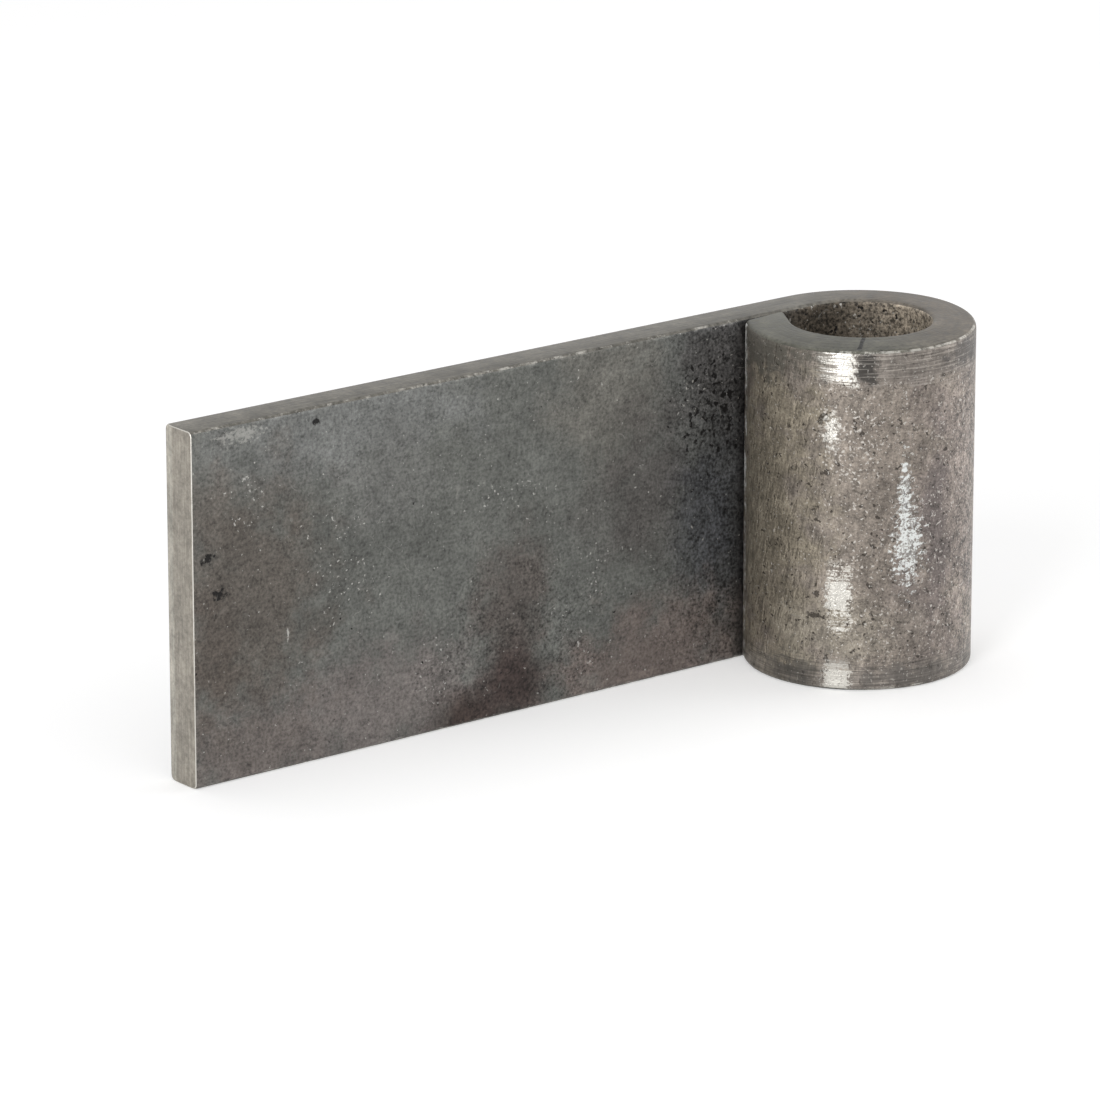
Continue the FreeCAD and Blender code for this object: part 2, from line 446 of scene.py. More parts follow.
def from_inside(point):
    """How deep a point lies in the bar's thickness, measured from the side that becomes the bore."""
    if point.x < 0 and point.y > bore_radius - SEAM_GAP / 2:
        return point.y - bore_radius
    return math.hypot(point.x, point.y) - bore_radius


def finish_of(face):
    """Which finish a face has."""
    at_free_end = face.normal.x < -0.6 and face.center.x < free_end + TORN_SLOPE + CUT_ROUND
    at_tip_end = face.normal.y > 0.6 and face.center.x < 0 and face.center.y < bore_radius
    if at_free_end or at_tip_end:
        return CUTS
    if abs(face.normal.z) > 0.6:
        return EDGES
    return FRONT if from_inside(face.center) < thickness / 2 else BACK


def map_of(point, finish, side):
    """Where a point lies on the unrolled bar."""
    if finish == EDGES:
        return (along_bar(point), side * (half_height + from_inside(point)))
    if finish == CUTS:
        return (along_bar(point) - from_inside(point), point.z)
    return (along_bar(point), point.z)


layer = bar.data.uv_layers.get(MAP) or bar.data.uv_layers.new(name=MAP)
for face in bar.data.polygons:
    face.material_index = finish_of(face)
    side = math.copysign(1, face.normal.z)
    for corner in face.loop_indices:
        point = bar.data.vertices[bar.data.loops[corner].vertex_index].co
        layer.data[corner].uv = map_of(point, face.material_index, side)
for name in [item.name for item in bar.data.uv_layers if item.name != MAP]:
    bar.data.uv_layers.remove(bar.data.uv_layers[name])
print("faces by finish", [sum(f.material_index == i for f in bar.data.polygons) for i in range(4)])

# %% [markdown]
# ## Building finishes out of nodes
#
# Every finish here is made of the same few effects, so each effect is a node group of its own: built once,
# with named inputs, and placed in each material with its own numbers. The groups only pass masks and
# values on. The shader stays in the material, where its plain values can be seen.

# %% Helpers for groups and colours
def start_group(name, inputs, outputs):
    """A new node group with named sockets. Returns its tree, its inputs and its output node."""
    tree = bpy.data.node_groups.new(name, "ShaderNodeTree")
    for label, value in inputs.items():
        kind = "Float" if isinstance(value, (int, float)) else "Vector"
        socket = tree.interface.new_socket(label, in_out="INPUT", socket_type="NodeSocket" + kind)
        socket.default_value = value
    for label in outputs:
        tree.interface.new_socket(label, in_out="OUTPUT", socket_type="NodeSocketFloat")
    return tree, tree.nodes.new("NodeGroupInput").outputs, tree.nodes.new("NodeGroupOutput")


def place(tree, group, **inputs):
    """Puts a group into a tree, fills its inputs by name and returns what comes out."""
    return add(tree, "Group", {"node_tree": group}, **inputs).outputs[0]


def times(tree, *values):
    """The values multiplied together."""
    product = values[0]
    for value in values[1:]:
        product = maths(tree, "MULTIPLY", product, value)
    return product


def step(tree, value, start, finish, from_level=0.0, to_level=1.0):
    """A soft step, from one level at start to the other at finish."""
    made = add(tree, "MapRange", {"interpolation_type": "SMOOTHSTEP"})
    for name, number in (
        ("Value", value), ("From Min", start), ("From Max", finish), ("To Min", from_level), ("To Max", to_level)
    ):
        plug(tree, made.inputs[name], number)
    return made.outputs["Result"]


def between(tree, value, low, high, soft):
    """1 between low and high, fading out over the soft distance."""
    return times(tree, step(tree, value, low - soft, low + soft), step(tree, value, high + soft, high - soft))


def lay_over(tree, share, base, over):
    """The colour base, with over laid on it by the given share."""
    made = add(tree, "Mix", {"data_type": "RGBA"})
    for index, value in ((0, share), (6, base), (7, over)):
        plug(tree, made.inputs[index], value)
    return made.outputs[2]


def shade(tree, colour, value, strength, darkest=0.25):
    """The colour made lighter or darker by a value round zero."""
    level = maths(tree, "MAXIMUM", maths(tree, "MULTIPLY_ADD", value, strength, 1.0), darkest)
    made = add(tree, "VectorMath", {"operation": "SCALE"})
    plug(tree, made.inputs[0], colour)
    plug(tree, made.inputs["Scale"], level)
    return made.outputs[0]


# %% [markdown]
# ## Soft patches
#
# Heat and handling leave the steel bluish in one place and brown in another, in patches with no clear edge.
# A patch is the distance from a centre, stretched to the patch's reach and stirred with noise so that its
# edge wanders. Setting a few one by one gives more control than one large noise, which never puts the brown
# where it belongs. With a fine noise and a narrow edge, the same patch breaks up into bright crumbs.

# %% The soft patch group
def make_soft_patch():
    tree, given, result = start_group(
        "Soft patch",
        {
            "Vector": (0, 0, 0), "Centre": (0, 0, 0), "Reach": (10, 10, 10),
            "Ragged": 5.0, "Ragged Size": 5.0, "Softness": 0.45,
        },
        ["Mask"],
    )
    away = add(tree, "VectorMath", {"operation": "SUBTRACT"})
    plug(tree, away.inputs[0], given["Vector"])
    plug(tree, away.inputs[1], given["Centre"])
    scaled = add(tree, "VectorMath", {"operation": "DIVIDE"})
    plug(tree, scaled.inputs[0], away.outputs[0])
    plug(tree, scaled.inputs[1], given["Reach"])
    reach = add(tree, "VectorMath", {"operation": "LENGTH"})
    plug(tree, reach.inputs[0], scaled.outputs[0])
    noise = add(
        tree, "TexNoise", Vector=given["Vector"],
        Scale=maths(tree, "DIVIDE", 1.0, given["Ragged Size"]), Detail=4.0, Roughness=0.65,
    )
    stir = times(tree, maths(tree, "SUBTRACT", noise.outputs["Fac"], 0.5), given["Ragged"])
    edge = maths(tree, "ADD", reach.outputs["Value"], stir)
    outside = maths(tree, "ADD", 1.0, given["Softness"])
    inside = maths(tree, "SUBTRACT", 1.0, given["Softness"])
    plug(tree, result.inputs["Mask"], step(tree, edge, outside, inside))
    return tree


soft_patch = make_soft_patch()

# %% [markdown]
# ## Grain, pits and flecks
#
# Close up, mill scale is salt and pepper: grains a few tenths of a millimetre wide, gathered into clumps.
# The grain is therefore two noises added, a fine one and a coarser one. Here and there a black pit shows,
# or a pale fleck where a crystal shines. Those are the peaks of a noise, cut off at a level, because peaks
# come in all sizes and crooked outlines. Cells with a dot in each would look like a printed pattern.

# %% The grain group and the islands group
def make_grain():
    tree, given, result = start_group(
        "Grain", {"Vector": (0, 0, 0), "Size": 0.4, "Clump Size": 2.0, "Clumping": 0.8}, ["Value"]
    )
    fine = add(
        tree, "TexNoise", Vector=given["Vector"],
        Scale=maths(tree, "DIVIDE", 1.0, given["Size"]), Detail=2.0, Roughness=0.7,
    )
    clumps = add(
        tree, "TexNoise", Vector=given["Vector"],
        Scale=maths(tree, "DIVIDE", 1.0, given["Clump Size"]), Detail=3.0, Roughness=0.65,
    )
    coarse = times(tree, maths(tree, "SUBTRACT", clumps.outputs["Fac"], 0.5), given["Clumping"])
    plug(tree, result.inputs["Value"], maths(tree, "ADD", maths(tree, "SUBTRACT", fine.outputs["Fac"], 0.5), coarse))
    return tree


def make_islands():
    tree, given, result = start_group(
        "Islands", {"Vector": (0, 0, 0), "Size": 0.6, "Cut": 0.7, "Shift": 0.0}, ["Mask"]
    )
    moved = add(tree, "VectorMath", {"operation": "ADD"})
    plug(tree, moved.inputs[0], given["Vector"])
    plug(tree, moved.inputs[1], given["Shift"])
    noise = add(
        tree, "TexNoise", Vector=moved.outputs[0],
        Scale=maths(tree, "DIVIDE", 1.0, given["Size"]), Detail=2.0, Roughness=0.5,
    )
    full = maths(tree, "ADD", given["Cut"], 0.05)
    plug(tree, result.inputs["Mask"], step(tree, noise.outputs["Fac"], given["Cut"], full))
    return tree


grain = make_grain()
islands = make_islands()

# %% [markdown]
# ## Roll marks, hair scratches and worn corners
#
# Marks from the rolls are noise squeezed to hair width across the bar and stretched along it, read from the
# bar's own map so that they go round the bend. Turned upright, the same marks are the stains that ran down
# the eye. A hair scratch is where a slow noise crosses its middle value, which is a thin crooked line, and
# a second noise keeps only short pieces of it. A worn corner is the bevel's mark from the mesh, broken up by
# noise, because a corner never wears evenly from end to end.

# %% The groups for roll marks, hair scratches and worn corners
def make_roll_marks():
    tree, given, result = start_group(
        "Roll marks", {"Map": (0, 0, 0), "Length": 6.0, "Width": 0.15, "Turned": 0.0}, ["Value"]
    )
    turned = add(tree, "VectorRotate", {"rotation_type": "Z_AXIS"}, Vector=given["Map"], Angle=given["Turned"])
    parts = add(tree, "SeparateXYZ", Vector=turned.outputs[0]).outputs
    squeezed = add(
        tree, "CombineXYZ",
        X=maths(tree, "DIVIDE", parts["X"], given["Length"]),
        Y=maths(tree, "DIVIDE", parts["Y"], given["Width"]),
    )
    lines = add(tree, "TexNoise", {"noise_dimensions": "2D"}, Vector=squeezed.outputs[0], Scale=1.0, Detail=3.0)
    plug(tree, result.inputs["Value"], maths(tree, "SUBTRACT", lines.outputs["Fac"], 0.5))
    return tree


def make_scratches():
    tree, given, result = start_group("Hair scratches", {"Vector": (0, 0, 0), "Size": 5.0, "Kept": 0.55}, ["Mask"])
    scale = maths(tree, "DIVIDE", 1.0, given["Size"])
    winding = add(tree, "TexNoise", Vector=given["Vector"], Scale=scale, Detail=2.0, Roughness=0.4)
    off_line = maths(tree, "ABSOLUTE", maths(tree, "SUBTRACT", winding.outputs["Fac"], 0.5))
    line = step(tree, off_line, 0.006, 0.001)
    pieces = add(tree, "TexNoise", Vector=given["Vector"], Scale=maths(tree, "MULTIPLY", scale, 2.3), Detail=1.0)
    kept = step(tree, pieces.outputs["Fac"], given["Kept"], maths(tree, "ADD", given["Kept"], 0.08))
    plug(tree, result.inputs["Mask"], times(tree, line, kept))
    return tree


def make_worn_corner():
    tree, given, result = start_group(
        "Worn corner", {"Vector": (0, 0, 0), "Corner": 0.0, "Amount": 0.5, "Gap Size": 3.0}, ["Mask"]
    )
    gaps = add(
        tree, "TexNoise", Vector=given["Vector"],
        Scale=maths(tree, "DIVIDE", 1.0, given["Gap Size"]), Detail=6.0, Roughness=0.8,
    )
    worn = times(tree, given["Corner"], maths(tree, "ADD", gaps.outputs["Fac"], given["Amount"]))
    plug(tree, result.inputs["Mask"], step(tree, worn, 0.90, 1.05))
    return tree


roll_marks = make_roll_marks()
scratches = make_scratches()
worn_corner = make_worn_corner()

# %% [markdown]
# ## Starting a finish
#
# Each material reads the same three things: its place on the object in millimetres, its place on the bar's
# own map in millimetres, and the corner mark. Working in millimetres keeps every number a size that can be
# measured on the real strap. The rolls left hair lines along the bar, which spread a highlight up and down
# but hardly to the sides. The shader's anisotropy does that, once its tangent follows the map.

# %% Open a material with its coordinates ready
BARE_STEEL = srgb(200, 197, 190)
SCALE_DEPTH_MM = 0.08
CLEAN_DEPTH_MM = 0.04
ENDLESS = 1e6  # a reach so long that a patch takes no notice of the map's empty third axis


def start_finish(name, specular=0.3, anisotropy=0.0):
    """A material, its shader, its object and map coordinates in mm, and the corner mark."""
    paint = bpy.data.materials.new(name)
    paint.use_nodes = True
    bar.data.materials.append(paint)
    tree = paint.node_tree
    shader = tree.nodes["Principled BSDF"]
    shader.inputs["Specular IOR Level"].default_value = specular
    if anisotropy:
        shader.inputs["Anisotropic"].default_value = anisotropy
        shader.inputs["Anisotropic Rotation"].default_value = 0.25
        follow = add(tree, "Tangent", {"direction_type": "UV_MAP", "uv_map": MAP})
        plug(tree, shader.inputs["Tangent"], follow.outputs[0])
    in_mm = {"Scale": (1 / MM, 1 / MM, 1 / MM)}
    here = add(tree, "Mapping", Vector=add(tree, "TexCoord").outputs["Object"], **in_mm).outputs[0]
    mapped = add(tree, "Mapping", Vector=add(tree, "UVMap", {"uv_map": MAP}).outputs[0], **in_mm).outputs[0]
    corner = add(tree, "Attribute", {"attribute_name": WEAR}).outputs["Fac"]
    return tree, shader, here, mapped, corner


def finish_bump(tree, shader, height, depth_mm):
    """Feeds a height round zero to the shader as bump of the given depth."""
    bump = add(tree, "Bump", Strength=1.0, Distance=depth_mm * MM, Height=height)
    plug(tree, shader.inputs["Normal"], bump.outputs["Normal"])


def patch_maker(tree, vector):
    """A short way to place soft patches that all read the same coordinates."""
    def patch(centre, reach, ragged=5.0, size=5.0, soft=0.45):
        return place(
            tree, soft_patch, Vector=vector, Centre=(*centre, 0), Reach=(*reach, ENDLESS),
            Ragged=ragged, Ragged_Size=size, Softness=soft,
        )
    return patch


# %% [markdown]
# ## The front: mill scale with its heat colours
#
# The broad front face is what the picture shows most of. Its scale is a mid grey with a green cast and a
# quiet grain, paler along the top. Brown rust haze lies over the free end, and a darker brown patch at the
# foot of the middle, where the grain is stronger too. Near the eye the scale turns blue-black, and the strap
# there is also painted darker as the eye's painted shadow. A cluster of pits shows where the scale flaked off
# in the roll, and a painted shadow darkens the strap just beside the seam. Inside the bore the same scale is
# browner and rough.

# %% The front and bore finish
def make_front():
    tree, shader, here, mapped, corner = start_finish("scale_front")
    patch = patch_maker(tree, mapped)
    parts = add(tree, "SeparateXYZ", Vector=mapped).outputs
    along, height_mm = parts["X"], parts["Y"]

    wispy, firm = 2.6, 1.3

    def haze(centre, reach, ragged=wispy):
        return patch(centre, reach, ragged=ragged, soft=0.6)

    colour = srgb(102, 103, 99)
    for share, tint, centre, reach in (
        (0.9, srgb(116, 117, 115), (19, 17), (17, 5)),
        (0.7, srgb(113, 113, 110), (26, 10), (6, 5)),
        (0.9, srgb(114, 112, 106), (57, 14), (7, 8)),
        (0.9, srgb(115, 109, 106), (23, -16), (17, 7)),
        (0.9, srgb(115, 108, 104), (7, -17), (10, 6)),
        (0.5, srgb(116, 109, 102), (2, 11), (4, 4)),
    ):
        colour = lay_over(tree, times(tree, haze(centre, reach), share), colour, tint)
    brown = 0.0
    for share, tint, centre, reach, ragged in (
        (0.9, srgb(94, 88, 82), (7, 0), (10, 12), wispy),
        (0.6, srgb(84, 76, 70), (2, -5), (4, 6), wispy),
        (0.9, srgb(86, 80, 76), (43.5, -7), (4.5, 7.5), wispy),
        (1.0, srgb(66, 56, 52), (37.5, -19.5), (5, 3.5), firm),
        (1.0, srgb(66, 56, 53), (43.5, -17), (5, 4.5), firm),
        (0.6, srgb(90, 88, 85), (57, 1), (5, 5), wispy),
        (0.7, srgb(84, 80, 78), (63, 3), (5, 9), wispy),
    ):
        mask = times(tree, haze(centre, reach, ragged), share)
        colour = lay_over(tree, mask, colour, tint)
        brown = maths(tree, "MAXIMUM", brown, mask)
    above_foot = step(tree, height_mm, -19, -9, 0.55, 1.0)
    # painted shade: the strap is painted dark blue-grey towards the eye for the eye's shadow on it, with the
    # blue-black of the scale there
    eye_shadow_and_scale = times(tree, step(tree, along, 61, 75.5), above_foot)
    colour = lay_over(tree, times(tree, eye_shadow_and_scale, 0.66), colour, srgb(45, 45, 51))
    colour = lay_over(tree, times(tree, haze((73.5, 15), (6, 6)), 0.8), colour, srgb(82, 80, 79))
    colour = lay_over(tree, times(tree, haze((70.5, -3), (4, 7)), 0.5), colour, srgb(64, 66, 72))
    colour = lay_over(tree, times(tree, haze((64, -18.5), (12.5, 7)), 0.95), colour, srgb(114, 104, 99))
    # painted shadow: a near-black strip on the strap just beside the seam, where the tip shades it
    seam_shadow = times(tree, step(tree, along, 74.3, 76.6), 0.75)
    colour = lay_over(tree, seam_shadow, colour, srgb(26, 23, 22))
    in_bore = step(tree, along, 80, 86)
    bore_colour = lay_over(tree, step(tree, along, 88, 104), srgb(84, 77, 68), srgb(150, 140, 126))
    colour = lay_over(tree, in_bore, colour, bore_colour)

    clouds = place(tree, grain, Vector=here, Size=7.0, Clump_Size=20.0, Clumping=0.5)
    colour = shade(tree, colour, clouds, 0.8)
    grains = place(tree, grain, Vector=here, Size=0.36, Clump_Size=1.2, Clumping=0.5)
    # the grain is quiet on the open face, and livelier in the bore, by the eye and in the brown patches
    lively = maths(tree, "MAXIMUM", times(tree, eye_shadow_and_scale, 1.5), in_bore)
    lively = maths(tree, "MAXIMUM", times(tree, brown, 0.2), lively)
    lively = maths(tree, "MAXIMUM", times(tree, haze((44, -14), (10, 10)), 0.8), lively)
    colour = shade(tree, colour, times(tree, grains, maths(tree, "ADD", lively, 1.0)), 1.9)
    marks = place(tree, roll_marks, Map=mapped, Length=5.0, Width=0.25)
    colour = shade(tree, colour, marks, 0.3)

    pit_cluster = patch((72, 10.5), (6, 5), ragged=3.0, size=2.0)
    cut = maths(tree, "MULTIPLY_ADD", pit_cluster, -0.12, 0.72)
    pits = place(tree, islands, Vector=here, Size=0.8, Cut=maths(tree, "MULTIPLY_ADD", eye_shadow_and_scale, -0.07, cut))
    for centre, reach in (((2.0, 5.6), (0.6, 0.5)), ((3.5, 1.4), (0.8, 0.5)), ((16.5, 18.3), (0.5, 0.3))):
        pits = maths(tree, "MAXIMUM", pits, patch(centre, reach, ragged=6.0, size=0.7, soft=0.4))
    # the flecks are rare, except in the bore and where a few patches gather them
    gather = in_bore
    for centre, reach in (
        ((7.5, 11.5), (3, 3.5)), ((19, 2), (4, 6)), ((32, -12), (2.5, 4)), ((54, -8), (3, 7)), ((44, 5.5), (6, 3)),
        ((69, 13), (3, 3)),
    ):
        gather = maths(tree, "MAXIMUM", gather, patch(centre, reach))
    flecks = place(
        tree, islands, Vector=here, Size=0.42, Shift=40.0, Cut=maths(tree, "MULTIPLY_ADD", gather, -0.06, 0.71)
    )
    for centre, reach in (((12.5, -4.8), (0.13, 0.45)), ((7.0, 13.7), (0.3, 0.2))):
        flecks = maths(tree, "MAXIMUM", flecks, patch(centre, reach, ragged=6.0, size=0.6, soft=0.4))
    chipped = patch((6.5, 18.6), (2.0, 0.6), ragged=9.0, size=0.5, soft=0.4)
    hairs = place(tree, scratches, Vector=here, Size=6.0, Kept=0.58)
    colour = lay_over(tree, times(tree, pits, 0.95), colour, srgb(14, 12, 12))
    colour = lay_over(tree, times(tree, flecks, 0.65), colour, srgb(205, 203, 198))
    colour = lay_over(tree, times(tree, chipped, 0.4), colour, srgb(190, 188, 182))
    colour = lay_over(tree, times(tree, hairs, 0.3), colour, srgb(170, 168, 162))
    rubbing = step(tree, along, 82, 78)
    worn = place(tree, worn_corner, Vector=here, Corner=times(tree, corner, rubbing), Amount=0.40, Gap_Size=2.0)
    colour = lay_over(tree, times(tree, worn, 0.35), colour, BARE_STEEL)
    plug(tree, shader.inputs["Base Color"], colour)

    rough = maths(tree, "MULTIPLY_ADD", grains, 0.4, 0.55)
    plug(tree, shader.inputs["Roughness"], maths(tree, "SUBTRACT", rough, times(tree, worn, 0.2)))
    plug(tree, shader.inputs["Metallic"], step(tree, maths(tree, "MAXIMUM", worn, flecks), 0, 1, 0.3, 0.95))
    finish_bump(tree, shader, maths(tree, "SUBTRACT", grains, pits), depth_mm=SCALE_DEPTH_MM)


make_front()

# %% [markdown]
# ## The back and the eye: rubbed by the rolls
#
# The outside of the bend was pressed and dragged through the tool, which rubbed much of the scale off. What
# is left is a warmer, lighter grey-brown with a strong grain, olive stains that run down the left of the
# eye, and a smooth band at each end where the tool held the bar. Beside the tall lamp's stripe the top band
# is painted dark, a painted reflection of dark surroundings. Where the tall lamp falls, bare steel is painted
# in short stripes, partly rubbed metal and partly a painted highlight. One crumbly silver patch in front is
# partly worn metal and partly a painted highlight, and a dark strip beside it is painted shade.

# %% The back and eye finish
def make_back():
    tree, shader, here, mapped, corner = start_finish("rubbed_back", anisotropy=0.8)
    patch = patch_maker(tree, mapped)
    parts = add(tree, "SeparateXYZ", Vector=mapped).outputs
    along, height_mm = parts["X"], parts["Y"]
    on_eye = step(tree, along, 80, 96)
    marks = place(tree, roll_marks, Map=mapped, Length=4.0, Width=0.2)
    grains = place(tree, grain, Vector=here, Size=0.28, Clump_Size=1.3, Clumping=0.8)
    wavering = maths(tree, "ADD", maths(tree, "ADD", times(tree, marks, 3.0), times(tree, grains, 3.0)), height_mm)
    top_band = times(tree, on_eye, between(tree, wavering, 15.8, 21, 0.7))
    foot_band = times(tree, on_eye, between(tree, wavering, -21, -17.0, 1.2))
    seen_band = times(tree, top_band, step(tree, along, 133, 130.5, 0.15, 1.0))
    band = maths(tree, "ADD", seen_band, foot_band)
    calm = maths(tree, "SUBTRACT", 1.0, times(tree, band, 0.5))

    scale_colour = srgb(100, 100, 97)
    for share, tint, centre, reach in (
        (0.7, srgb(106, 110, 111), (30, 8), (26, 9)),
        (0.7, srgb(84, 71, 67), (62, -12), (16, 10)),
        (0.6, srgb(98, 88, 82), (10, 2), (12, 14)),
        (0.5, srgb(112, 102, 96), (45, 15), (20, 7)),
    ):
        scale_colour = lay_over(tree, times(tree, patch(centre, reach), share), scale_colour, tint)
    eye_colour = srgb(143, 134, 125)
    # the third patch, a dark strip just right of the silver patch, is painted shade
    for share, tint, centre, reach in (
        (0.9, srgb(152, 143, 127), (137, -2), (6, 20)),
        (0.6, srgb(136, 126, 121), (117, 2), (6, 15)),
        (0.7, srgb(116, 108, 106), (119.6, -2), (1.5, 10)),
        (0.6, srgb(156, 149, 136), (129, -13), (7, 3)),
        (0.5, srgb(124, 115, 111), (120, -12), (5, 5)),
        (0.4, srgb(122, 114, 106), (126.5, 1), (1.8, 13)),
    ):
        eye_colour = lay_over(tree, times(tree, patch(centre, reach, ragged=4.0), share), eye_colour, tint)
    colour = lay_over(tree, on_eye, scale_colour, eye_colour)
    colour = lay_over(tree, times(tree, band, 0.6), colour, srgb(122, 117, 112))
    clouds = place(tree, grain, Vector=here, Size=3.0, Clump_Size=9.0, Clumping=0.5)
    colour = shade(tree, colour, clouds, 0.9)
    rough_part = maths(tree, "MULTIPLY_ADD", between(tree, along, 107, 116, 4), 1.2, 1.0)
    quiet_part = times(tree, step(tree, along, 126, 134, 1.0, 0.65), step(tree, on_eye, 0, 1, 0.7, 1.0))
    colour = shade(tree, colour, times(tree, grains, calm, rough_part, quiet_part), 2.1)
    colour = shade(tree, colour, times(tree, marks, step(tree, band, 0, 1, 0.15, 1.0)), 1.8)
    # faint smears lean down the left of the eye, with short dark dashes among them
    stains = place(tree, roll_marks, Map=mapped, Length=2.6, Width=0.5, Turned=1.4)
    colour = shade(tree, colour, times(tree, stains, step(tree, along, 126, 134, 0.5, 1.0)), 1.6)
    # the first two patches lie in the top band beside the lamp's stripe and are painted reflection: the smooth metal
    # painted dark as if it mirrored dark surroundings
    for share, tint, centre, reach in (
        (0.85, srgb(60, 58, 56), (126.9, 17.4), (0.9, 2.4)),
        (0.75, srgb(82, 79, 77), (114.5, 17.8), (3.5, 1.4)),
        (0.6, srgb(82, 80, 77), (133.5, -18.4), (2.6, 1.2)),
        (0.5, srgb(98, 95, 92), (122, -18.6), (4.5, 1.2)),
        (0.9, srgb(103, 100, 92), (139, 20), (7, 4.5)),
    ):
        mask = patch(centre, reach, ragged=4.0, size=1.5, soft=0.4)
        colour = lay_over(tree, times(tree, mask, share), colour, tint)

    dashes = times(tree, step(tree, stains, 0.09, 0.16), step(tree, along, 128, 133), calm)
    pepper = place(tree, islands, Vector=here, Size=0.34, Shift=15.0, Cut=0.62)
    pits = place(tree, islands, Vector=here, Size=0.7, Cut=0.65)
    for centre, reach in (
        ((130.9, 11.6), (0.4, 0.5)), ((130.5, 5.4), (0.3, 0.25)), ((131.6, -11.4), (0.6, 0.25)),
        ((131.4, -8.8), (0.3, 0.2)), ((127.2, 10.0), (0.25, 0.25)), ((126.5, -7.5), (0.2, 0.25)),
    ):
        pits = maths(tree, "MAXIMUM", pits, patch(centre, reach, ragged=8.0, size=0.7, soft=0.3))
    sparkling = maths(tree, "MAXIMUM", patch((128.5, 9), (3, 4)), patch((111.5, -4), (1.5, 20)))
    scarce = maths(tree, "ADD", step(tree, on_eye, 0, 1, 0.71, 0.63), step(tree, along, 129, 132, 0, 0.04))
    flecks = place(
        tree, islands, Vector=here, Size=0.32, Shift=40.0, Cut=maths(tree, "MULTIPLY_ADD", sparkling, -0.06, scarce)
    )
    hairs = place(tree, scratches, Vector=here, Size=5.0, Kept=0.58)
    scored = times(tree, step(tree, marks, 0.09, 0.14), seen_band)
    for mask, share, tint in (
        (dashes, 0.55, srgb(74, 69, 60)),
        (times(tree, pepper, on_eye), 0.5, srgb(74, 67, 60)),
        (pits, 0.8, srgb(50, 45, 40)),
        (flecks, 0.7, srgb(218, 213, 206)),
        (hairs, 0.4, srgb(196, 190, 182)),
        (scored, 0.5, srgb(186, 180, 172)),
    ):
        colour = lay_over(tree, times(tree, mask, share, calm), colour, tint)

    # painted highlight: bare steel is laid where the tall lamp falls, partly rubbed metal, in the streaked stripe in
    # each band and the spots below the upper one
    crooked = maths(tree, "ADD", along, times(tree, grains, 2.5))
    streaked = maths(tree, "ADD", along, times(tree, marks, 9.0))
    spot = between(tree, crooked, 128.2, 130.4, 0.15)
    crumbs = step(tree, grains, -0.03, 0.05)
    core = between(tree, wavering, -10.6, -7.2, 0.3)
    broken = times(tree, crumbs, step(tree, marks, -0.05, 0.03, 0.15, 1.0))
    low_spot = times(tree, spot, between(tree, wavering, -12.4, -4.6, 0.4), maths(tree, "MAXIMUM", core, broken))
    foot_stripe = times(tree, spot, foot_band, step(tree, grains, -0.16, -0.06, 0.7, 1.0))
    high_spot = times(tree, patch((130.1, 10.2), (0.6, 1.7), ragged=6.0, size=0.5, soft=0.6), 0.95)
    unstreaked = step(tree, marks, -0.15, -0.09, 0.2, 1.0)
    top_stripe = times(
        tree, step(tree, crooked, 127.8, 128.35), step(tree, streaked, 131.0, 130.3), unstreaked, top_band
    )
    rubbed_and_highlight = top_stripe
    for mask in (low_spot, foot_stripe, high_spot):
        rubbed_and_highlight = maths(tree, "MAXIMUM", rubbed_and_highlight, mask)
    # painted highlight: a near-white crumbly patch in front, partly worn metal and partly a highlight painted in
    silver_highlight = maths(
        tree, "MAXIMUM",
        patch((122.8, -3.2), (1.15, 3.6), ragged=7.0, size=0.5, soft=0.25),
        patch((123.2, 1.4), (0.55, 4.2), ragged=6.0, size=0.5, soft=0.25),
    )
    silver_highlight = times(tree, silver_highlight, step(tree, grains, -0.10, 0.06, 0.2, 1.0))
    outer_corner = times(tree, corner, step(tree, along, 135, 131), step(tree, along, 118, 124, 0.92, 1.0))
    worn = place(tree, worn_corner, Vector=here, Corner=outer_corner, Amount=0.39, Gap_Size=2.0)
    bare_and_highlight = maths(tree, "MAXIMUM", rubbed_and_highlight, worn)
    colour = lay_over(tree, bare_and_highlight, colour, BARE_STEEL)
    colour = lay_over(tree, silver_highlight, colour, srgb(236, 238, 236))
    # painted glints: the straight tip shows as a hair line along the seam, with white painted in dashes on its
    # corner's burr
    tip_line = step(tree, along, 141.7, 141.85)
    tip_glints = place(tree, worn_corner, Vector=here, Corner=tip_line, Amount=0.44, Gap_Size=2.2)
    colour = lay_over(tree, tip_glints, colour, srgb(255, 254, 250))
    plug(tree, shader.inputs["Base Color"], colour)

    rough = maths(tree, "MULTIPLY_ADD", grains, 0.4, 0.55)
    plug(tree, shader.inputs["Roughness"], maths(tree, "SUBTRACT", rough, times(tree, rubbed_and_highlight, 0.26)))
    plug(tree, shader.inputs["Metallic"], step(tree, bare_and_highlight, 0, 1, 0.5, 1.0))
    height = maths(tree, "SUBTRACT", times(tree, grains, calm), maths(tree, "MAXIMUM", pits, dashes))
    height = maths(tree, "MULTIPLY_ADD", marks, step(tree, band, 0, 1, 0.05, 0.3), height)
    finish_bump(tree, shader, height, depth_mm=SCALE_DEPTH_MM)


make_back()
